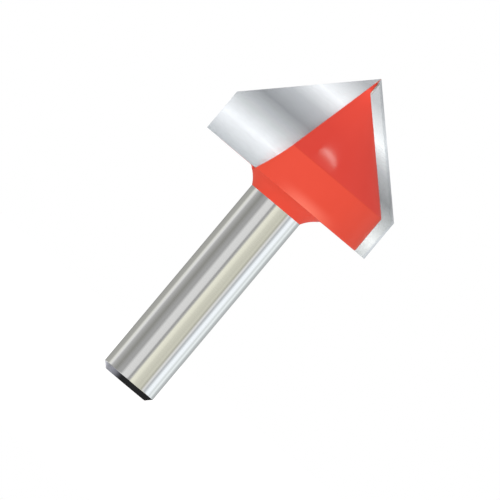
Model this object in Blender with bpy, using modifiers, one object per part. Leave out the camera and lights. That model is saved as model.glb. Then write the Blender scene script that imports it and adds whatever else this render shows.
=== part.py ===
"""A two-flute V groove router bit, standing on the end of its shank with its point up.

The steel is one piece: a round shank, a hollow flare and a head that is turned and then milled
with two flutes. Each flute has a pocket let into the web behind it. A carbide tip is brazed into
the pocket, and its ground edges do the cutting.
The origin is the centre of the shank's end face, +Z runs up the axis to the point, and the
tips' faces lie along the XZ plane. Lengths are in metres.
"""

import math

import bmesh
import bpy
from mathutils import Matrix, Vector

SHANK_DIAMETER = 0.0127
SHANK_LENGTH = 0.0478
END_CHAMFER = 0.0012

FLARE_HEIGHT = 0.0031
FLARE_REACH = 0.003
FLARE_HOLLOW = 0.0003

CUTTING_DIAMETER = 0.0418
SIDE_EDGE = 0.0095
POINT_ANGLE = math.radians(90)

TIP_THICKNESS = 0.0024
TIP_OVERHANG = 0.0025
TIP_SPACING = 0.0003
BRAZE_GAP = 0.0003
SIDE_RELIEF = math.radians(12)
BEVEL_RELIEF = math.radians(14)
GRINDING_STOCK = 0.0008

WEB_ANGLE = math.radians(13.1)
WEB_DROP = 0.0012
POCKET_STEP = 0.0009
CORE_THICKNESS = 0.0003
NOSE_MARGIN = 0.0003
RUNOUT_HEIGHT = 0.0094
RUNOUT_RADIUS = 0.047
EDGE_BREAK = 0.00025

TURNED_STEPS = 96
FLARE_POINTS = 9
CONE_POINTS = 16
RUNOUT_POINTS = 8
CUTTER_MARGIN = 0.004
MERGE_DISTANCE = 0.00001
SHARP_ANGLE = math.radians(25)

COATING_RED = (0.76, 0.072, 0.045, 1)
SHANK_STEEL = (0.72, 0.72, 0.70, 1)
CARBIDE_GREY = (0.56, 0.57, 0.58, 1)

shank_radius = SHANK_DIAMETER / 2
cutting_radius = CUTTING_DIAMETER / 2
half_angle = POINT_ANGLE / 2
underside_height = SHANK_LENGTH + FLARE_HEIGHT
corner_height = underside_height + SIDE_EDGE
point_height = corner_height + cutting_radius / math.tan(half_angle)
web_top = point_height - WEB_DROP

face_depth = TIP_SPACING / 2
back_depth = face_depth + TIP_THICKNESS
seat_depth = back_depth + BRAZE_GAP
lip_depth = face_depth - BRAZE_GAP
ledge_height = underside_height - BRAZE_GAP


def cutting_reach(height):
    """The radius that the bevel's cutting edge sweeps at this height."""
    return (point_height - height) * math.tan(half_angle)


def nose_radius(height):
    """The steel's radius on the cone. Where a seat cuts it, its edge stays a steady step inside the bevel."""
    seat_edge = max(0, cutting_reach(height) - TIP_OVERHANG / math.cos(half_angle))
    return min(math.hypot(seat_edge, seat_depth), cutting_reach(height) - NOSE_MARGIN)


def web_half_width(height):
    """Half the steel between the flutes: it widens from the point down, and flares where the mill ran out."""
    runout = max(0, underside_height + RUNOUT_HEIGHT - height)
    return (point_height - height) * math.tan(WEB_ANGLE) + runout**2 / (2 * RUNOUT_RADIUS)


def runout_heights(lowest):
    """Heights from the lowest up to where the flute's wall becomes straight."""
    highest = underside_height + RUNOUT_HEIGHT
    return [lowest + (highest - lowest) * step / RUNOUT_POINTS for step in range(RUNOUT_POINTS + 1)]


def pocket_half_width(height):
    """Half the steel between the pockets: a step less than the web, down to a thin core at the nose."""
    web = web_half_width(height)
    return max(web - POCKET_STEP, min(web, CORE_THICKNESS / 2))


def pocket_wall(lowest, highest, clearance):
    """The pocket's left wall from the lowest height to the highest, stood off by this clearance."""
    core = CORE_THICKNESS / 2
    bends = [point_height - half_width / math.tan(WEB_ANGLE) for half_width in (core + POCKET_STEP, core)]
    heights = [height for height in runout_heights(lowest) + bends if height < highest] + [highest]
    return [(-pocket_half_width(height) - clearance, height) for height in heights]


def hollow_arc(start, end, hollow, count):
    """Points of an arc from start up to end, sunk by the hollow below the straight line between them."""
    chord = end - start
    radius = (chord.length**2 / 4 + hollow**2) / (2 * hollow)
    outward = Vector((chord.y, -chord.x)).normalized()
    centre = (start + end) / 2 + outward * (radius - hollow)
    sweep = 2 * math.asin(chord.length / 2 / radius)
    turns = [-sweep * step / (count - 1) for step in range(count)]
    return [centre + Matrix.Rotation(turn, 2) @ (start - centre) for turn in turns]


def clear_scene():
    for old in list(bpy.data.objects):
        bpy.data.objects.remove(old)


def new_collection(name):
    collection = bpy.data.collections.new(name)
    bpy.context.scene.collection.children.link(collection)
    return collection


def metal(name, colour, roughness, metallic):
    """A plain Principled metal. It returns the material and its shader."""
    material = bpy.data.materials.new(name)
    material.use_nodes = True
    shader = material.node_tree.nodes["Principled BSDF"]
    shader.inputs["Base Color"].default_value = colour
    shader.inputs["Roughness"].default_value = roughness
    shader.inputs["Metallic"].default_value = metallic
    return material, shader


def coated_steel():
    """Bare ground steel up to the flare, and a red coating from there to the point."""
    material, shader = metal("coated_steel", COATING_RED, 0.3, 0)
    nodes = material.node_tree.nodes
    links = material.node_tree.links
    place = nodes.new("ShaderNodeTexCoord")
    height = nodes.new("ShaderNodeSeparateXYZ")
    bare = nodes.new("ShaderNodeMath")
    bare.operation = "LESS_THAN"
    bare.inputs[1].default_value = SHANK_LENGTH
    colour = nodes.new("ShaderNodeMix")
    colour.data_type = "RGBA"
    colour.inputs["A"].default_value = COATING_RED
    colour.inputs["B"].default_value = SHANK_STEEL
    links.new(place.outputs["Object"], height.inputs["Vector"])
    links.new(height.outputs["Z"], bare.inputs[0])
    links.new(bare.outputs["Value"], colour.inputs["Factor"])
    links.new(bare.outputs["Value"], shader.inputs["Metallic"])
    links.new(colour.outputs["Result"], shader.inputs["Base Color"])
    return material


def plate_mesh(name, outline, near, far):
    """A flat plate of this outline in X and Z, reaching along Y from near to far."""
    work = bmesh.new()
    face = work.faces.new([work.verts.new((x, near, z)) for x, z in outline])
    grown = bmesh.ops.extrude_face_region(work, geom=[face])
    moved = [item for item in grown["geom"] if isinstance(item, bmesh.types.BMVert)]
    bmesh.ops.translate(work, verts=moved, vec=(0, far - near, 0))
    bmesh.ops.recalc_face_normals(work, faces=work.faces)
    mesh = bpy.data.meshes.new(name)
    work.to_mesh(mesh)
    work.free()
    return mesh


def grind(mesh, on_edge, outward):
    """Takes off all that lies outside the plane through this point, and closes the ground face."""
    work = bmesh.new()
    work.from_mesh(mesh)
    everything = work.verts[:] + work.edges[:] + work.faces[:]
    cut = bmesh.ops.bisect_plane(
        work, geom=everything, plane_co=on_edge, plane_no=outward, clear_outer=True
    )
    rim = [item for item in cut["geom_cut"] if isinstance(item, bmesh.types.BMEdge)]
    bmesh.ops.holes_fill(work, edges=rim)
    bmesh.ops.recalc_face_normals(work, faces=work.faces)
    work.to_mesh(mesh)
    work.free()


def cone_heights():
    """Heights on the cone from the web's top down to the crease, closest where the nose curves most."""
    shoulder = point_height - TIP_OVERHANG / math.sin(half_angle)
    crease = shoulder - (cutting_radius - TIP_OVERHANG) / math.tan(half_angle)
    nose_line = cutting_reach(shoulder) - NOSE_MARGIN
    bend = shoulder + max(0, nose_line - seat_depth) / math.tan(half_angle)
    steps = [(step / CONE_POINTS) ** 2 for step in range(CONE_POINTS + 1)]
    below = {bend} | {shoulder - (shoulder - crease) * step for step in steps}
    return [web_top] + sorted((height for height in below if height < web_top), reverse=True)


def blank_profile():
    """The turned blank's half section, down its outer side from the top of the web to the shank's end."""
    cone = [(nose_radius(height), height) for height in cone_heights()]
    head_radius = cone[-1][0]
    flare = hollow_arc(
        Vector((shank_radius, SHANK_LENGTH)),
        Vector((shank_radius + FLARE_REACH, underside_height)),
        FLARE_HOLLOW,
        FLARE_POINTS,
    )
    profile = [(0, web_top)] + cone
    profile.append((head_radius, underside_height + EDGE_BREAK))
    profile.append((head_radius - EDGE_BREAK, underside_height))
    profile += [(place.x, place.y) for place in reversed(flare)]
    profile += [(shank_radius, END_CHAMFER), (shank_radius - END_CHAMFER, 0), (0, 0)]
    return profile


def turned(name, profile):
    """A blank turned about Z from its half section."""
    mesh = bpy.data.meshes.new(name)
    edges = [(index, index + 1) for index in range(len(profile) - 1)]
    mesh.from_pydata([(radius, 0, height) for radius, height in profile], edges, [])
    blank = bpy.data.objects.new(name, mesh)
    screw = blank.modifiers.new("Turning", "SCREW")
    screw.axis = "Z"
    screw.steps = TURNED_STEPS
    screw.render_steps = TURNED_STEPS
    screw.use_merge_vertices = True
    screw.merge_threshold = MERGE_DISTANCE
    return blank


def flute_wall():
    """The web's left wall, seen from the front."""
    wall = [(-web_half_width(height), height) for height in runout_heights(SHANK_LENGTH)]
    return wall + [(0, point_height)]


def cutter_mesh(name, wall, near, far):
    """All that lies outside this wall and above its foot, reaching along Y from near to far."""
    outside = cutting_radius + CUTTER_MARGIN
    above = point_height + CUTTER_MARGIN
    foot = wall[0][1]
    return plate_mesh(name, [(-outside, above), (-outside, foot)] + wall + [(0, above)], near, far)


def mill(body, name, mesh, turn, cutters):
    """Takes the cutter out of the body, turned about Z to its side."""
    cutter = bpy.data.objects.new(name, mesh)
    cutter.rotation_euler.z = turn
    cutter.hide_render = True
    cutter.display_type = "WIRE"
    cutters.objects.link(cutter)
    milling = body.modifiers.new(name, "BOOLEAN")
    milling.operation = "DIFFERENCE"
    milling.solver = "EXACT"
    milling.object = cutter


def settle(piece):
    """Makes the modelled shape the piece's own mesh, round faces smooth and real edges crisp."""
    graph = bpy.context.evaluated_depsgraph_get()
    mesh = bpy.data.meshes.new_from_object(piece.evaluated_get(graph))
    piece.modifiers.clear()
    piece.data = mesh
    mesh.shade_smooth()
    mesh.set_sharp_from_angle(angle=SHARP_ANGLE)


def steel_body(parts, cutters):
    """Shank, flare and head in one: turned, then milled with a flute and a pocket on each side."""
    body = turned("steel_body", blank_profile())
    parts.objects.link(body)
    outside = cutting_radius + CUTTER_MARGIN
    pocket = pocket_wall(ledge_height, point_height, 0)
    flute_mesh = cutter_mesh("flute_cutter", flute_wall(), -outside, face_depth)
    pocket_mesh = cutter_mesh("pocket_cutter", pocket, lip_depth, seat_depth)
    for number, turn in enumerate((0, math.pi), start=1):
        mill(body, f"flute_cutter_{number}", flute_mesh, turn, cutters)
        mill(body, f"pocket_cutter_{number}", pocket_mesh, turn, cutters)
    settle(body)
    body.data.materials.clear()
    body.data.materials.append(coated_steel())


def tip_outline():
    """A pressed tip before grinding: it fills its pocket, and laps over the web's top."""
    outside = cutting_radius + GRINDING_STOCK
    lap = web_top + BRAZE_GAP
    peak = point_height + GRINDING_STOCK / math.sin(half_angle)
    inner = pocket_wall(underside_height, lap, BRAZE_GAP)
    bevel = [(0, lap), (0, peak), (-outside, peak - outside / math.tan(half_angle))]
    return [(-outside, underside_height)] + inner + bevel


def carbide_tip_mesh():
    """The left tip, its face towards -Y, with clearance ground behind its side edge and its bevel."""
    mesh = plate_mesh("carbide_tip", tip_outline(), face_depth, back_depth)
    corner = Vector((-cutting_radius, face_depth, corner_height))
    side = Vector((-math.cos(SIDE_RELIEF), math.sin(SIDE_RELIEF), 0))
    grind(mesh, corner, side)
    across = Vector((-math.cos(half_angle), 0, math.sin(half_angle)))
    grind(mesh, corner, across * math.cos(BEVEL_RELIEF) + Vector((0, math.sin(BEVEL_RELIEF), 0)))
    return mesh


def carbide_tips(parts):
    """Two alike, half a turn apart."""
    mesh = carbide_tip_mesh()
    mesh.materials.append(metal("carbide", CARBIDE_GREY, 0.22, 1)[0])
    for number, turn in enumerate((0, math.pi), start=1):
        tip = bpy.data.objects.new(f"carbide_tip_{number}", mesh)
        tip.rotation_euler.z = turn
        parts.objects.link(tip)


def main():
    clear_scene()
    parts = new_collection("v_groove_router_bit")
    cutters = new_collection("cutters")
    steel_body(parts, cutters)
    carbide_tips(parts)


main()
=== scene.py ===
"""The looks of a V groove router bit: a coated and ground steel body with two carbide tips brazed in."""

import math

import bmesh
import bpy
from mathutils import Matrix, Vector


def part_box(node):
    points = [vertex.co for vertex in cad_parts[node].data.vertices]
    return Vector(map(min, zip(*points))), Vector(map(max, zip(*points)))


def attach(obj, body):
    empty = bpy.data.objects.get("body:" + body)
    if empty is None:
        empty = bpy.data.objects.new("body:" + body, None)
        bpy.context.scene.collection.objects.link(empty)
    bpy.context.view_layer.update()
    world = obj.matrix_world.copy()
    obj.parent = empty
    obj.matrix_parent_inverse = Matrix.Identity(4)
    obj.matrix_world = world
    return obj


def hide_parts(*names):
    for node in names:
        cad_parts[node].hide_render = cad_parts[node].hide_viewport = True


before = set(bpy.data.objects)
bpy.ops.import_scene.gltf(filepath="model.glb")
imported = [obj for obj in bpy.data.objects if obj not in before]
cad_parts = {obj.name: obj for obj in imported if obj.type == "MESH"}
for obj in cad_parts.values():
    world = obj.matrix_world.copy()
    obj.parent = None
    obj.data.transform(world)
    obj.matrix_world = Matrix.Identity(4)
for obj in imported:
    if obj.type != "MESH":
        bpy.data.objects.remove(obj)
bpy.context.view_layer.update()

# Steel body: one bar of tool steel, turned to a shank, a hollow flare and a head. Two flutes are milled
# into the head, each with a pocket for a carbide tip, cut a step deeper. All its edges are broken a little.

tip_low, tip_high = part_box("carbide_tip_1")
point = tip_high.z
underside = tip_low.z
cutting_radius = -tip_low.x
face = tip_low.y
tip_back = tip_high.y
web_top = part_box("steel_body")[1].z

shank_radius = 0.00635
shank_length = 0.0478
end_chamfer = 0.0012
flare_reach = 0.003
flare_hollow = 0.0003
side_edge = 0.0095
tip_overhang = 0.0025
braze_gap = 0.0003
nose_margin = 0.0003
web_slope = math.tan(math.radians(13.1))
pocket_step = 0.0009
core_half = 0.00015
runout_height = 0.0094
runout_radius = 0.047
rim_chamfer = 0.00025
broken_edge = 0.00012

seat = tip_back + braze_gap
lip = face - braze_gap
ledge = underside - braze_gap
half_angle = math.atan2(cutting_radius, point - underside - side_edge)
shoulder = point - tip_overhang / math.sin(half_angle)
crease = shoulder - (cutting_radius - tip_overhang) / math.tan(half_angle)


def cutting_reach(height):
    return (point - height) * math.tan(half_angle)


def nose_radius(height):
    seat_edge = max(0, cutting_reach(height) - tip_overhang / math.cos(half_angle))
    return min(math.hypot(seat_edge, seat), cutting_reach(height) - nose_margin)


def web_half(height):
    """Half the steel between the flutes. It flares where the mill ran out."""
    runout = max(0, underside + runout_height - height)
    return (point - height) * web_slope + runout**2 / (2 * runout_radius)


def pocket_half(height):
    """Half the steel between the pockets, which are a step deeper than the flutes."""
    web = web_half(height)
    return max(web - pocket_step, min(web, core_half))


flare_steps = 24


def flare_arc():
    """Up the hollow flare from the shank to the head's underside."""
    start = Vector((shank_radius, shank_length))
    chord = Vector((shank_radius + flare_reach, underside)) - start
    radius = (chord.length**2 / 4 + flare_hollow**2) / (2 * flare_hollow)
    outward = Vector((chord.y, -chord.x)).normalized()
    centre = start + chord / 2 + outward * (radius - flare_hollow)
    sweep = 2 * math.asin(chord.length / 2 / radius)
    turns = [-sweep * step / flare_steps for step in range(flare_steps + 1)]
    return [centre + Matrix.Rotation(turn, 2) @ (start - centre) for turn in turns]


broken_steps = 4
broken_share = 0.4
corner_turn = math.radians(20)


def curve_over(start, corner, end):
    """A soft curve from start towards end that cuts the corner. The end itself is left off."""
    shares = [step / broken_steps for step in range(broken_steps)]
    return [start.lerp(corner, share).lerp(corner.lerp(end, share), share) for share in shares]


def break_corners(section):
    """The same half section with its sharp corners broken."""
    broken = [section[0]]
    for before, corner, after in zip(section, section[1:], section[2:]):
        into, out = corner - before, after - corner
        if into.angle(out) < corner_turn:
            broken.append(corner)
            continue
        start = corner - into.normalized() * min(broken_edge, into.length * broken_share)
        end = corner + out.normalized() * min(broken_edge, out.length * broken_share)
        broken += curve_over(start, corner, end) + [end]
    return broken + [section[-1]]


cone_steps = 24
just_above = 0.02


def blank_section():
    """The turned blank's half section, from the top of the web down to the middle of the shank's end."""
    cone = [web_top, shoulder + (shoulder - crease) * just_above]
    cone += [shoulder - (shoulder - crease) * (step / cone_steps) ** 2 for step in range(cone_steps + 1)]
    section = [(0, web_top)] + [(nose_radius(height), height) for height in cone]
    head_radius = nose_radius(crease)
    section += [(head_radius, underside + rim_chamfer), (head_radius - rim_chamfer, underside)]
    section += [tuple(place) for place in reversed(flare_arc())]
    section += [(shank_radius, end_chamfer), (shank_radius - end_chamfer, 0), (0, 0)]
    return break_corners([Vector(place) for place in section])


runout_steps = 16
ledge_steps = 3


def cut_heights(section):
    """The half section with the heights added where the flutes and pockets change."""
    runout = [underside + runout_height * step / runout_steps for step in range(runout_steps + 1)]
    fine = [ledge + (underside - ledge) * step / ledge_steps for step in range(ledge_steps)]
    bends = [point - (core_half + pocket_step) / web_slope, shank_length]
    cuts = [section[0]]
    for above, below in zip(section, section[1:]):
        inside = [height for height in runout + fine + bends if below.y < height < above.y]
        for height in sorted(inside, reverse=True):
            cuts.append(above.lerp(below, (above.y - height) / (above.y - below.y)))
        cuts.append(below)
    return cuts


wall_steps = 6
lip_steps = 2
core_steps = 6
seat_steps = 12
front_steps = 128
front_share = 0.3


def straight(start, end, steps):
    return [start.lerp(end, step / steps) for step in range(steps)]


def half_outline(radius, web, core, floor):
    """Half of a level cut: down the right flute's wall, along the tip's seat, and round the front.

    It returns the points, and for each point how much of a broken edge it is."""
    web, core = min(web, radius), min(core, radius)
    back = math.sqrt(radius**2 - web**2)
    step = min(-lip, back)
    reach = math.sqrt(max(0, radius**2 - floor**2))
    if reach > core:
        corner, inner = Vector((reach, -floor)), Vector((core, -floor))
        ease = min(broken_edge, front_share * (reach - core))
        leave = corner - Vector((ease, 0))
    else:
        corner = Vector((core, -math.sqrt(radius**2 - core**2)))
        ease = min(broken_edge, front_share * (step - corner.y))
        inner = leave = corner + Vector((0, ease))
    back_ease = min(broken_edge, front_share * (back - step))
    start = math.atan2(corner.y, corner.x) - ease / radius
    end = math.acos(min(1, web / radius)) - math.pi + back_ease / radius
    turns = [start + (end - start) * turn / front_steps for turn in range(front_steps + 1)]
    front = [Vector((math.cos(turn), math.sin(turn))) * radius for turn in turns]
    wall_foot = Vector((web, step))
    wall_top = Vector((web, back - back_ease))

    points = straight(wall_top, wall_foot, wall_steps)
    points += straight(wall_foot, Vector((core, step)), lip_steps)
    points += straight(Vector((core, step)), inner, core_steps)
    points += straight(inner, leave, seat_steps)
    broken = [0] + [1] * (broken_steps - 1)
    edge = [0] * len(points) + broken
    points += curve_over(leave, corner, front[0])
    points += front[:-1]
    edge += [0] * (len(front) - 1) + broken
    points += curve_over(front[-1], Vector((-web, -back)), -wall_top)
    return points, edge


hair = 1e-7
weld_reach = 1e-6


def head_cuts():
    """Every level cut from the top down, as (height, points, edge)."""
    cuts = []
    for radius, height in cut_heights(blank_section()):
        if radius < weld_reach:
            length = len(half_outline(shank_radius, 0, 0, 0)[0])
            cuts.append((height, [Vector((0, 0))] * length, [0] * length))
            continue
        web = web_half(height)
        if height > ledge - hair:
            cuts.append((height, *half_outline(radius, web, pocket_half(height), seat)))
        if height < ledge + hair:
            cuts.append((height, *half_outline(radius, web, web, face)))
    return cuts


sharp_from = math.radians(30)


def steel_mesh():
    """The level cuts joined by faces. Faces on the shank get the second finish, and its end the third."""
    work = bmesh.new()
    worn = work.verts.layers.float.new("worn_edge")
    rings = []
    for height, points, edge in head_cuts():
        ring = [work.verts.new((x, y, height)) for x, y in points]
        ring += [work.verts.new((-x, -y, height)) for x, y in points]
        for vertex, share in zip(ring, edge + edge):
            vertex[worn] = share
        rings.append(ring)
    for above, below in zip(rings, rings[1:]):
        middle = (above[0].co.z + below[0].co.z) / 2
        finish = 0 if middle > shank_length else 1 if middle > end_chamfer else 2
        for near in range(len(above)):
            next_one = (near + 1) % len(above)
            made = work.faces.new((above[near], above[next_one], below[next_one], below[near]))
            made.material_index = finish
    bmesh.ops.remove_doubles(work, verts=work.verts, dist=weld_reach)
    bmesh.ops.recalc_face_normals(work, faces=work.faces)
    mesh = bpy.data.meshes.new("bit_steel")
    work.to_mesh(mesh)
    work.free()
    mesh.shade_smooth()
    mesh.set_sharp_from_angle(angle=sharp_from)
    return mesh


steel = bpy.data.objects.new("bit_steel", steel_mesh())
bpy.context.scene.collection.objects.link(steel)
even = steel.modifiers.new("Even shading", "WEIGHTED_NORMAL")
even.keep_sharp = True
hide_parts("steel_body")
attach(steel, "root")

# Finishes of the steel: a baked red coating on the head, half glossy, and a little thinner along the edges.
# Its cone has painted shade, its nose painted light and its rim a painted highlight. The shank is ground
# bright all round. Its turned end is painted near black for shade, with a painted reflection on one side.

noise_low = 0.3
noise_high = 0.7


def fit(tree, kind, inputs=(), **settings):
    """Adds a node with its settings, and fits a value or another node's output to each input."""
    made = tree.nodes.new("ShaderNode" + kind)
    for name, value in settings.items():
        setattr(made, name, value)
    for name, value in dict(inputs).items():
        if isinstance(value, bpy.types.NodeSocket):
            tree.links.new(value, made.inputs[name])
        else:
            made.inputs[name].default_value = value
    return made


def sum_of(tree, operation, *terms):
    """A sum or other operation on values, through one Math node."""
    return fit(tree, "Math", dict(enumerate(terms)), operation=operation).outputs[0]


def spread(tree, value, low, high, to_low, to_high, soft=False):
    """Stretches the values between low and high over another range."""
    limits = {"Value": value, "From Min": low, "From Max": high, "To Min": to_low, "To Max": to_high}
    kind = "SMOOTHSTEP" if soft else "LINEAR"
    return fit(tree, "MapRange", limits, interpolation_type=kind).outputs["Result"]


def blend_of(tree, factor, first, second):
    """A mix of two colours."""
    inputs = {"Factor": factor, "A": first, "B": second}
    return fit(tree, "Mix", inputs, data_type="RGBA").outputs["Result"]


def new_effect(name, takes, gives):
    """An empty node group with these inputs and outputs."""
    effect = bpy.data.node_groups.new(name, "ShaderNodeTree")
    for in_out, sockets in (("INPUT", takes), ("OUTPUT", gives)):
        for socket, kind in sockets.items():
            effect.interface.new_socket(name=socket, in_out=in_out, socket_type="NodeSocket" + kind)
    return effect, effect.nodes.new("NodeGroupInput").outputs, effect.nodes.new("NodeGroupOutput").inputs


def tool_marks():
    """Fine parallel lines, as a wheel or a turning tool leaves them."""
    sizes = {"Across": "Float", "Spacing": "Float"}
    effect, takes, gives = new_effect("tool_marks", sizes, {"Lines": "Float"})
    along = sum_of(effect, "DIVIDE", takes["Across"], takes["Spacing"])
    grain = {"W": along, "Scale": 1, "Detail": 4, "Roughness": 0.65}
    noise = fit(effect, "TexNoise", grain, noise_dimensions="1D")
    effect.links.new(noise.outputs["Fac"], gives["Lines"])
    return effect


def uneven_finish():
    """Soft patches and small specks, for the unevenness of a coating or a handled surface."""
    sizes = {"Place": "Vector", "Patch": "Float", "Speck": "Float"}
    effect, takes, gives = new_effect("uneven_finish", sizes, {"Patches": "Float", "Specks": "Float"})
    for size, result, detail in (("Patch", "Patches", 2), ("Speck", "Specks", 1)):
        scale = sum_of(effect, "DIVIDE", 1, takes[size])
        place = fit(effect, "VectorMath", {"Vector": takes["Place"], "Scale": scale}, operation="SCALE")
        noise = fit(effect, "TexNoise", {"Vector": place.outputs["Vector"], "Scale": 1, "Detail": detail})
        effect.links.new(spread(effect, noise.outputs["Fac"], noise_low, noise_high, 0, 1), gives[result])
    return effect


marks_effect = tool_marks()
uneven_effect = uneven_finish()


def new_finish(name, metallic):
    """A material with its shader, the place on the object in metres, and that place's three parts."""
    material = bpy.data.materials.new(name)
    material.use_nodes = True
    tree = material.node_tree
    shader = tree.nodes["Principled BSDF"]
    shader.inputs["Metallic"].default_value = metallic
    place = fit(tree, "TexCoord").outputs["Object"]
    parts = fit(tree, "SeparateXYZ", {"Vector": place}).outputs
    return material, tree, shader, place, parts


def bump_of(tree, shader, height, *, depth):
    """Raises the surface by this height map, whose full depth is given in metres."""
    bump = fit(tree, "Bump", {"Height": height, "Distance": depth, "Strength": 1})
    tree.links.new(bump.outputs["Normal"], shader.inputs["Normal"])


coating_red = (0.865, 0.0905, 0.054, 1)
cone_painted_shade = (0.885, 0.078, 0.056, 1)
nose_painted_light = (1, 0.0985, 0.066, 1)
rim_painted_highlight = (1, 0.19, 0.128, 1)
coating_thin = (0.95, 0.15, 0.09, 1)
coating_shade = (0.5, 0.02, 0.01, 1)
crease_blend = 0.0002
nose_light_fade = (0.064, 0.076)
nose_light_share = 0.8
patch_share = 0.05
outer_skin = (0.0183, 0.0185)
rim_glow = (underside + 0.0002, underside + 0.003)
glow_begins = (0.0035, -0.0045)
glow_ends = (-0.0055, -0.0138)
worn_least = 0.2
worn_most = 0.9
coating_gloss = (0.36, 0.44)


def distance_from_axis(tree, parts):
    squares = [sum_of(tree, "MULTIPLY", parts[name], parts[name]) for name in "XY"]
    return sum_of(tree, "SQRT", sum_of(tree, "ADD", *squares))


def red_coating():
    material, tree, shader, place, parts = new_finish("red_coating", 0)
    uneven = fit(tree, "Group", {"Place": place, "Patch": 0.006, "Speck": 0.0007}, node_tree=uneven_effect)
    patches, specks = uneven.outputs["Patches"], uneven.outputs["Specks"]
    # Painted shade and painted light: the cone's red is set a shade off the band's, and lightens towards
    # the nose.
    on_cone_shade = spread(tree, parts["Z"], crease, crease + crease_blend, 0, 1)
    colour = blend_of(tree, on_cone_shade, coating_red, cone_painted_shade)
    nose_light = spread(tree, parts["Z"], *nose_light_fade, 0, nose_light_share, soft=True)
    colour = blend_of(tree, nose_light, colour, nose_painted_light)
    colour = blend_of(tree, sum_of(tree, "MULTIPLY", patches, patch_share), colour, coating_shade)

    # Painted highlight: a paler red along the lower rim of the band, fading in and out round each side.
    on_side = spread(tree, distance_from_axis(tree, parts), *outer_skin, 0, 1)
    at_rim = sum_of(tree, "MULTIPLY", on_side, spread(tree, parts["Z"], *rim_glow, 1, 0, soft=True))
    from_flute = sum_of(tree, "MULTIPLY", parts["X"], sum_of(tree, "SIGN", parts["Y"]))
    begun = spread(tree, from_flute, *glow_begins, 0, 1, soft=True)
    not_ended = spread(tree, from_flute, *glow_ends, 1, 0, soft=True)
    rim_highlight = sum_of(tree, "MULTIPLY", at_rim, sum_of(tree, "MULTIPLY", begun, not_ended))
    colour = blend_of(tree, rim_highlight, colour, rim_painted_highlight)
    worn = fit(tree, "Attribute", attribute_name="worn_edge").outputs["Fac"]
    spotted = spread(tree, specks, worn_least, worn_most, worn_least, worn_most)
    colour = blend_of(tree, sum_of(tree, "MULTIPLY", worn, spotted), colour, coating_thin)
    tree.links.new(colour, shader.inputs["Base Color"])

    tree.links.new(spread(tree, patches, 0, 1, *coating_gloss), shader.inputs["Roughness"])
    shader.inputs["Specular IOR Level"].default_value = 0
    shader.inputs["Coat Weight"].default_value = 0.3
    shader.inputs["Coat Roughness"].default_value = 0.14
    shader.inputs["Coat IOR"].default_value = 1.22
    bump_of(tree, shader, specks, depth=0.000002)
    return material


steel_bright = (0.58, 0.58, 0.575, 1)
steel_dull = (0.52, 0.52, 0.515, 1)
dull_share = 0.4
shank_gloss = (0.07, 0.11)


def ground_shank():
    material, tree, shader, place, parts = new_finish("ground_shank", 1)
    marks = fit(tree, "Group", {"Across": parts["Z"], "Spacing": 0.00022}, node_tree=marks_effect)
    uneven = fit(tree, "Group", {"Place": place, "Patch": 0.008, "Speck": 0.0005}, node_tree=uneven_effect)
    lines = marks.outputs["Lines"]
    dull = spread(tree, lines, noise_low, noise_high, 0, dull_share)
    tree.links.new(blend_of(tree, dull, steel_bright, steel_dull), shader.inputs["Base Color"])
    tree.links.new(spread(tree, uneven.outputs["Patches"], 0, 1, *shank_gloss), shader.inputs["Roughness"])
    bump_of(tree, shader, lines, depth=0.000001)
    return material


end_painted_shade = (0.02, 0.02, 0.021, 1)
end_painted_reflection = (0.56, 0.57, 0.65, 1)
reflection_side = (-0.0056, -0.0014)
reflection_share = (0.85, 1)
end_gloss = (0.25, 0.4)


def turned_end():
    material, tree, shader, place, parts = new_finish("turned_end", 1)
    out_from_axis = distance_from_axis(tree, parts)
    marks = fit(tree, "Group", {"Across": out_from_axis, "Spacing": 0.00015}, node_tree=marks_effect)
    lines = marks.outputs["Lines"]
    # Painted shade and painted reflection: the end is near black, and lighter and metallic on one side.
    reflection_mask = spread(tree, parts["X"], *reflection_side, 1, 0, soft=True)
    streaked = spread(tree, lines, noise_low, noise_high, *reflection_share)
    reflection_mask = sum_of(tree, "MULTIPLY", reflection_mask, streaked)
    tree.links.new(blend_of(tree, reflection_mask, end_painted_shade, end_painted_reflection), shader.inputs["Base Color"])
    tree.links.new(reflection_mask, shader.inputs["Metallic"])
    shader.inputs["Specular IOR Level"].default_value = 0
    tree.links.new(spread(tree, lines, noise_low, noise_high, *end_gloss), shader.inputs["Roughness"])
    bump_of(tree, shader, lines, depth=0.000004)
    return material


for finish in (red_coating(), ground_shank(), turned_end()):
    steel.data.materials.append(finish)

# Carbide tips: two plates of tungsten carbide, pressed, sintered and brazed in, then ground on the face,
# the bevel and the side edge. They keep the frame's shape, with the edges just off dead sharp.

# Painted reflections: light and dark bands set into the carbide's colour up the tip, slanting with depth.
carbide_reflection_dark = (0.30, 0.315, 0.335, 1)
carbide_reflection_dull = (0.43, 0.445, 0.47, 1)
carbide_reflection_grey = (0.49, 0.52, 0.55, 1)
carbide_reflection_mid = (0.49, 0.51, 0.54, 1)
carbide_reflection_pale = (0.56, 0.585, 0.61, 1)
carbide_reflection_light = (0.93, 0.96, 1, 1)
reflection_band_heights = {
    underside: carbide_reflection_grey,
    0.0562: carbide_reflection_light,
    0.0601: carbide_reflection_pale,
    0.0640: carbide_reflection_dark,
    0.0682: carbide_reflection_mid,
    0.0724: carbide_reflection_light,
    0.0785: carbide_reflection_dull,
    point: carbide_reflection_dull,
}
reflection_slant = 0.7
reflection_wander = 0.0002
carbide_gloss = (0.18, 0.24)

# Painted shade and painted light on the relief and on the back of each tip, by height.
relief_begins = (0.0001, 0.0002)
relief_painted_light = 0.5
relief_painted_shade = 0.44
relief_shade_middle = 0.063
relief_shade_reach = 0.005
face_to_back = tip_back - face
back_begins = (face_to_back - 0.0001, face_to_back)
back_painted_shade = 0.14
back_shade_fade = (0.0685, 0.0715)
back_painted_light = 0.22
back_light_begins = (0.0715, 0.0740)


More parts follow.
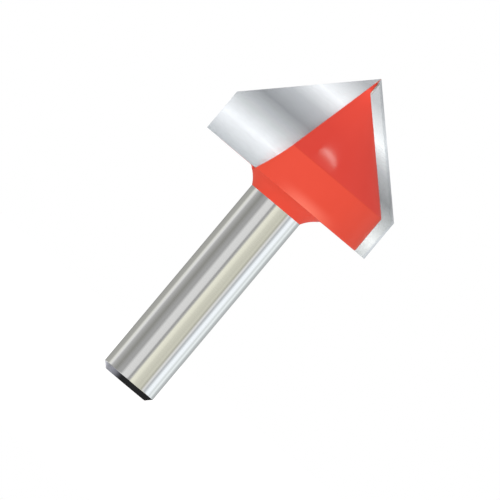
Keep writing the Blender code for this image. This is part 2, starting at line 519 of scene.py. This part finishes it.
def ground_carbide():
    """Slanting light and dark painted reflections up the tip. Relief and back get painted shade and light
    in places.
    """
    material, tree, shader, place, parts = new_finish("ground_carbide", 1)
    depth = sum_of(tree, "SUBTRACT", sum_of(tree, "ABSOLUTE", parts["Y"]), face)
    slanted = sum_of(tree, "MULTIPLY_ADD", depth, reflection_slant, parts["Z"])
    marks = fit(tree, "Group", {"Across": parts["Z"], "Spacing": 0.00025}, node_tree=marks_effect)
    lines = marks.outputs["Lines"]
    wander = spread(tree, lines, noise_low, noise_high, -1, 1)
    wander = sum_of(tree, "MULTIPLY_ADD", wander, reflection_wander, slanted)
    # The painted reflection bands, read from a ramp over the slanted height.
    bands = fit(tree, "ValToRGB", {"Fac": spread(tree, wander, underside, point, 0, 1)})
    ramp = bands.color_ramp
    ramp.interpolation = "LINEAR"
    for number, (height, colour) in enumerate(reflection_band_heights.items()):
        stop = ramp.elements[number] if number < 2 else ramp.elements.new(1)
        stop.position = (height - underside) / (point - underside)
        stop.color = colour

    # Painted shade: the back darkens low down, and the relief darkens in a band round its middle.
    on_back = spread(tree, depth, *back_begins, 0, 1)
    on_relief = sum_of(tree, "SUBTRACT", spread(tree, depth, *relief_begins, 0, 1), on_back)
    dull = sum_of(tree, "MULTIPLY", on_back, spread(tree, parts["Z"], *back_shade_fade, back_painted_shade, 0))
    from_middle = sum_of(tree, "ABSOLUTE", sum_of(tree, "SUBTRACT", parts["Z"], relief_shade_middle))
    relief_shade_band = spread(tree, from_middle, 0, relief_shade_reach, relief_painted_shade, 0)
    dull = sum_of(tree, "MULTIPLY_ADD", on_relief, relief_shade_band, dull)
    colour = blend_of(tree, dull, bands.outputs["Color"], (0, 0, 0, 1))
    # Painted light: the back pales near its top, and the relief pales towards its foot.
    pale = sum_of(tree, "MULTIPLY", on_back, spread(tree, parts["Z"], *back_light_begins, 0, back_painted_light))
    relief_light_at_foot = spread(tree, parts["Z"], underside, underside + side_edge, relief_painted_light, 0)
    pale = sum_of(tree, "MULTIPLY_ADD", on_relief, relief_light_at_foot, pale)
    colour = blend_of(tree, pale, colour, carbide_reflection_light)
    tree.links.new(colour, shader.inputs["Base Color"])

    tree.links.new(spread(tree, lines, noise_low, noise_high, *carbide_gloss), shader.inputs["Roughness"])
    shader.inputs["Anisotropic"].default_value = 0.9
    shader.inputs["Anisotropic Rotation"].default_value = 0.25
    bump_of(tree, shader, lines, depth=0.0000012)
    return material


tip_weld = 0.00001
tip_bevel = 0.00004
bevel_turn = math.radians(20)

carbide = ground_carbide()
for name in ("carbide_tip_1", "carbide_tip_2"):
    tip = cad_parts[name]
    tip.data.materials.clear()
    tip.data.materials.append(carbide)
    weld = tip.modifiers.new("Closed faces", "WELD")
    weld.merge_threshold = tip_weld
    edges = tip.modifiers.new("Ground edges", "BEVEL")
    edges.width = tip_bevel
    edges.segments = 2
    edges.limit_method = "ANGLE"
    edges.angle_limit = bevel_turn

# Braze: the film that joins each tip to its pocket, under it, behind it, beside it and under the lip of the
# flute's wall, and the drop between the tips at the nose. It is a silver alloy that flowed in hot. The
# head's coating went on over it, and has worn off the tops of the films.

film_inset = 0.00002
film_edge = 0.0001
film_runout_steps = 8
film_cone_steps = 32
drop_steps = 10
drop_share = 0.4


def flare_radius(height):
    arc = flare_arc()
    low, high = next(pair for pair in zip(arc, arc[1:]) if pair[0].y <= height <= pair[1].y)
    return low.lerp(high, (height - low.y) / (high.y - low.y)).x


def film_cut(height, under_tip=False):
    """A level cut through the left tip's film: a hook round the tip's inner edge, from back to front."""
    core = pocket_half(height)
    web = web_half(height)
    inside = film_inset if height > web_top else core + film_inset
    against_tip = core + braze_gap - film_inset
    radius = min(nose_radius(min(height, web_top)), math.hypot(cutting_radius - tip_overhang, seat))
    depth = min(seat, math.sqrt(max(0, radius**2 - core**2))) - film_inset
    behind = min(tip_back + film_inset, depth - film_inset)
    if height < underside:
        radius = flare_radius(height)
    outer = max(against_tip, math.sqrt(max(0, radius**2 - seat**2)) - film_edge)
    front_outer = outer
    if under_tip:
        behind = face + film_inset
        front_outer = math.sqrt(radius**2 - face**2) - film_edge
    under_lip = max(against_tip, web - film_edge)
    share = min(1, max(0, (web - against_tip) / braze_gap))
    front = face - film_inset - (braze_gap - 2 * film_inset) * share
    cut = [(-front_outer, behind), (-against_tip, behind), (-against_tip, face - film_inset)]
    cut += [(-under_lip, face - film_inset), (-under_lip, front), (-inside, front)]
    cut += [(-inside, depth), (-outer, depth)]
    return [(x, y, height) for x, y in cut]


def film_cuts():
    """Every level cut through the film, from the foot under the tip up past the top of the web."""
    foot_top = underside - film_inset
    low = underside + film_edge
    middle = underside + runout_height
    high = web_top - film_inset
    runout = [low + (middle - low) * step / film_runout_steps for step in range(film_runout_steps + 1)]
    cone = [middle + (high - middle) * step / film_cone_steps for step in range(1, film_cone_steps + 1)]
    over_web = [web_top + film_inset, web_top + braze_gap - film_inset]
    foot = [film_cut(ledge + film_inset, under_tip=True), film_cut(foot_top, under_tip=True)]
    return foot + [film_cut(height) for height in [foot_top] + runout + cone + over_web]


def nose_cuts():
    """Level cuts through the drop between the tips, as wide as the web and with soft corners."""
    low, high, deep = web_top + film_inset, point - film_edge, face - 2 * film_inset
    cuts = []
    for step in range(drop_steps + 1):
        height = low + (high - low) * step / drop_steps
        wide = (point - height) * web_slope
        soft = min(wide, deep) * drop_share
        quarter = [(wide, soft), (wide, deep - soft), (wide - soft, deep)]
        half = quarter + [(-x, y) for x, y in reversed(quarter)]
        cuts.append([(x, y, height) for x, y in half + [(-x, -y) for x, y in half]])
    return cuts


def loft(name, cuts):
    """A closed mesh through level cuts of as many points each, from the lowest up."""
    work = bmesh.new()
    rings = [[work.verts.new(place) for place in cut] for cut in cuts]
    for below, above in zip(rings, rings[1:]):
        for near in range(len(below)):
            next_one = (near + 1) % len(below)
            work.faces.new((below[near], below[next_one], above[next_one], above[near]))
    work.faces.new(reversed(rings[0]))
    work.faces.new(rings[-1])
    bmesh.ops.remove_doubles(work, verts=work.verts, dist=weld_reach)
    bmesh.ops.recalc_face_normals(work, faces=work.faces)
    mesh = bpy.data.meshes.new(name)
    work.to_mesh(mesh)
    work.free()
    return mesh


braze_bright = (0.72, 0.66, 0.5, 1)
braze_dull = (0.66, 0.65, 0.61, 1)
bare_spots = (0.86, 0.98)
bare_top = 0.0768
bare_blend = 0.0006
braze_gloss = (0.35, 0.5)


def coated_braze(name, bare_above):
    """Coated braze with a few bare spots. Above the given height it is bare and dull."""
    material, tree, shader, place, parts = new_finish(name, 0)
    uneven = fit(tree, "Group", {"Place": place, "Patch": 0.0012, "Speck": 0.0003}, node_tree=uneven_effect)
    bare = spread(tree, uneven.outputs["Patches"], *bare_spots, 0, 1)
    colour = blend_of(tree, bare, coating_red, braze_bright)
    near_nose = spread(tree, parts["Z"], bare_above, bare_above + bare_blend, 0, 1, soft=True)
    colour = blend_of(tree, near_nose, colour, braze_dull)
    tree.links.new(colour, shader.inputs["Base Color"])
    tree.links.new(bare, shader.inputs["Metallic"])
    tree.links.new(spread(tree, uneven.outputs["Specks"], 0, 1, *braze_gloss), shader.inputs["Roughness"])
    shader.inputs["Specular IOR Level"].default_value = 0.1
    bump_of(tree, shader, uneven.outputs["Specks"], depth=0.00001)
    return material


film_braze = coated_braze("film_braze", bare_top)
nose_braze = coated_braze("nose_braze", point)
other_side = Matrix.Rotation(math.pi, 4, "Z")
for name, cuts, finish in (
    ("braze_1", film_cuts(), film_braze),
    ("braze_2", film_cuts(), film_braze),
    ("braze_nose", nose_cuts(), nose_braze),
):
    film = bpy.data.objects.new(name, loft(name, cuts))
    if name == "braze_2":
        film.data.transform(other_side)
    film.data.materials.append(finish)
    bpy.context.scene.collection.objects.link(film)
    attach(film, "root")

# Studio: a white room with soft boxes and grey screens round the bit at its own level, whose stripes show
# in the ground shank, and plain panels off that level, in front and behind, for the ground carbide. Colours
# are lit evenly, and more from low in front and behind. Azimuths count from the front to the right.

plain_light = (1, 1, 1)
olive_light = (1, 1, 0.94)
warm_light = (1, 0.99, 0.84)
blue_light = (0.91, 0.955, 1)
cool_light = (0.93, 0.985, 1)
walls = [
    (-180, 0.62, plain_light),
    (-165, 0.32, plain_light),
    (-150, 0.53, olive_light),
    (-119, 0.66, olive_light),
    (-109, 1.24, olive_light),
    (-99, 1.26, plain_light),
    (-91, 0.74, plain_light),
    (-66, 0.44, olive_light),
    (-50, 0.61, plain_light),
    (-41, 0.61, plain_light),
    (-31, 1.16, plain_light),
    (-10, 1.12, plain_light),
    (-5, 0.52, plain_light),
    (0, 0.60, plain_light),
    (7, 1.38, warm_light),
    (17, 1.28, warm_light),
    (25, 1.06, warm_light),
    (42, 0.96, warm_light),
    (50, 1.04, warm_light),
    (58, 0.70, warm_light),
    (66, 1.30, plain_light),
    (75, 0.78, blue_light),
    (87, 1.72, blue_light),
    (98, 1.74, blue_light),
    (109, 1.20, cool_light),
    (120, 1.56, cool_light),
    (134, 0.88, cool_light),
    (152, 0.65, cool_light),
    (165, 0.56, plain_light),
    (180, 0.62, plain_light),
]
side_share = 0.6
ceiling_share = 0.85
panel_light = (2.2, 2.2, 2.2, 1)
stripes_fade = (0.03, 0.11)
ceiling_fade = (0.22, 0.35)
panel_edge = (0.7, 0.9)


def room_light():
    """The light that metal sees each way: stripes, duller off their level, the panels and the ceiling."""
    effect, takes, gives = new_effect("room_light", {"Direction": "Vector"}, {"Light": "Color"})
    parts = fit(effect, "SeparateXYZ", {"Vector": takes["Direction"]}).outputs
    azimuth = sum_of(effect, "ARCTAN2", parts["X"], sum_of(effect, "MULTIPLY", parts["Y"], -1))
    stripes = fit(effect, "ValToRGB", {"Fac": spread(effect, azimuth, -math.pi, math.pi, 0, 1)})
    ramp = stripes.color_ramp
    ramp.elements.remove(ramp.elements[-1])
    brightest = max(level for degrees, level, tint in walls)
    for number, (degrees, level, tint) in enumerate(walls):
        stop = ramp.elements[0] if number == 0 else ramp.elements.new((degrees + 180) / 360)
        stop.position = (degrees + 180) / 360
        stop.color = (*(part * level / brightest for part in tint), 1)
    off_level = sum_of(effect, "ABSOLUTE", parts["Z"])
    wall = spread(effect, off_level, *stripes_fade, brightest, brightest * side_share, soft=True)
    level = spread(effect, off_level, *ceiling_fade, wall, brightest * ceiling_share, soft=True)
    dimmed = {"Vector": stripes.outputs["Color"], "Scale": level}
    striped = fit(effect, "VectorMath", dimmed, operation="SCALE").outputs["Vector"]

    end_on = spread(effect, sum_of(effect, "ABSOLUTE", parts["Y"]), *panel_edge, 0, 1, soft=True)
    off_stripes = spread(effect, off_level, *stripes_fade, 0, 1, soft=True)
    off_ceiling = spread(effect, off_level, *ceiling_fade, 1, 0, soft=True)
    on_panel = sum_of(effect, "MULTIPLY", end_on, sum_of(effect, "MULTIPLY", off_stripes, off_ceiling))
    effect.links.new(blend_of(effect, on_panel, striped, panel_light), gives["Light"])
    return effect


room_effect = room_light()

even_light = 0.67
low_light = 1.4
low_light_drop = math.radians(20)
low_light_focus = 6
plain_white = (1, 1, 1, 1)


def light_room():
    """Metal sees the stripes and panels, colours get the even light, and the eye sees plain white."""
    room = bpy.data.worlds.new("studio")
    bpy.context.scene.world = room
    room.use_nodes = True
    room.cycles.sampling_method = "NONE"
    tree = room.node_tree
    tree.nodes.clear()
    direction = fit(tree, "TexCoord").outputs["Generated"]
    light = fit(tree, "Group", {"Direction": direction}, node_tree=room_effect).outputs["Light"]
    reflected = fit(tree, "Background", {"Color": light})

    parts = fit(tree, "SeparateXYZ", {"Vector": direction}).outputs
    along = sum_of(tree, "MULTIPLY", sum_of(tree, "ABSOLUTE", parts["Y"]), math.cos(low_light_drop))
    toward = sum_of(tree, "MULTIPLY_ADD", parts["Z"], -math.sin(low_light_drop), along)
    toward = sum_of(tree, "POWER", sum_of(tree, "MAXIMUM", toward, 0), low_light_focus)
    level = sum_of(tree, "MULTIPLY_ADD", toward, low_light, even_light)
    even = fit(tree, "Background", {"Color": plain_white, "Strength": level})

    white = fit(tree, "Background", {"Color": plain_white, "Strength": 1})
    path = fit(tree, "LightPath").outputs
    lit = fit(tree, "MixShader", {0: path["Is Diffuse Ray"], 1: reflected.outputs[0], 2: even.outputs[0]})
    shown = fit(tree, "MixShader", {0: path["Is Camera Ray"], 1: lit.outputs[0], 2: white.outputs[0]})
    fit(tree, "OutputWorld", {"Surface": shown.outputs[0]})


light_room()

lamp_place = Vector((0.0049, -0.01525, 0.0828))
lamp_turn = math.radians(7)
lamp_length = 0.011
lamp_width = 0.0009
lamp_power = 0.0008
lamp_spread = math.radians(110)
lamp_tint = (0.65, 1, 0.93)


def small_lamp(name, turn):
    """A small oval soft box over the cone, seen only as a highlight. Its spread keeps it off the tips."""
    panel = bpy.data.lights.new(name, "AREA")
    panel.shape = "ELLIPSE"
    panel.size, panel.size_y = lamp_length, lamp_width
    panel.energy = lamp_power
    panel.spread = lamp_spread
    panel.color = lamp_tint
    lamp = bpy.data.objects.new(name, panel)
    lamp.matrix_world = turn @ Matrix.Translation(lamp_place) @ Matrix.Rotation(lamp_turn, 4, "Z")
    lamp.visible_camera = False
    lamp.visible_diffuse = False
    bpy.context.scene.collection.objects.link(lamp)


small_lamp("front_top_lamp", Matrix())
small_lamp("back_top_lamp", other_side)

# Floor: a pale sheet under the bit, lit from below. It is white to the eye with a soft shadow, and metal
# sees the room's stripes run on over it.

floor_drop = 0.00002
floor_width = 3
floor_grey = 0.5
floor_glow = 0.78


def pale_sheet():
    """Pale and glowing to the eye, striped in metal's reflections, and clear from below."""
    material = bpy.data.materials.new("pale_sheet")
    material.use_nodes = True
    tree = material.node_tree
    tree.nodes.clear()
    matt = fit(tree, "BsdfDiffuse", {"Color": (floor_grey, floor_grey, floor_grey, 1)})
    glow = fit(tree, "Emission", {"Strength": floor_glow})
    seen = fit(tree, "AddShader", {0: matt.outputs[0], 1: glow.outputs[0]})
    geometry = fit(tree, "NewGeometry").outputs
    light = fit(tree, "Group", {"Direction": geometry["Position"]}, node_tree=room_effect).outputs["Light"]
    reflected = fit(tree, "Emission", {"Color": light})
    path = fit(tree, "LightPath").outputs
    polished = sum_of(tree, "MAXIMUM", path["Is Glossy Ray"], path["Is Transmission Ray"])
    above = fit(tree, "MixShader", {0: polished, 1: seen.outputs[0], 2: reflected.outputs[0]})
    clear = fit(tree, "BsdfTransparent")
    shown = fit(tree, "MixShader", {0: geometry["Backfacing"], 1: above.outputs[0], 2: clear.outputs[0]})
    fit(tree, "OutputMaterial", {"Surface": shown.outputs[0]})
    return material


floor_half = floor_width / 2
turns = [(-1, -1), (1, -1), (1, 1), (-1, 1)]
corners = [(x * floor_half, y * floor_half, -floor_drop) for x, y in turns]
sheet = bpy.data.meshes.new("floor")
sheet.from_pydata(corners, [], [(0, 1, 2, 3)])
sheet.materials.append(pale_sheet())
floor = bpy.data.objects.new("floor", sheet)
floor.visible_diffuse = False
bpy.context.scene.collection.objects.link(floor)

# Camera: square on to the left tip's face, rolled so that the bit leans to the right. It stands far off
# with a long lens, because the view shows no perspective.

camera_away = 4
frame_width = 0.10193
frame_centre = Vector((0.0019, 0, 0.03735))
lean = math.radians(40)

lens = bpy.data.cameras.new("camera")
lens.sensor_width = 36
lens.lens = lens.sensor_width * camera_away / frame_width
lens.clip_start = 0.1
lens.clip_end = 20
camera = bpy.data.objects.new("camera", lens)
bpy.context.scene.collection.objects.link(camera)
right = Vector((math.cos(lean), 0, math.sin(lean)))
up = Vector((-math.sin(lean), 0, math.cos(lean)))
turned_to = Matrix((right, up, right.cross(up))).transposed()
camera.matrix_world = Matrix.Translation(frame_centre - Vector((0, camera_away, 0))) @ turned_to.to_4x4()
bpy.context.scene.camera = camera
bpy.context.scene.view_settings.view_transform = "Standard"
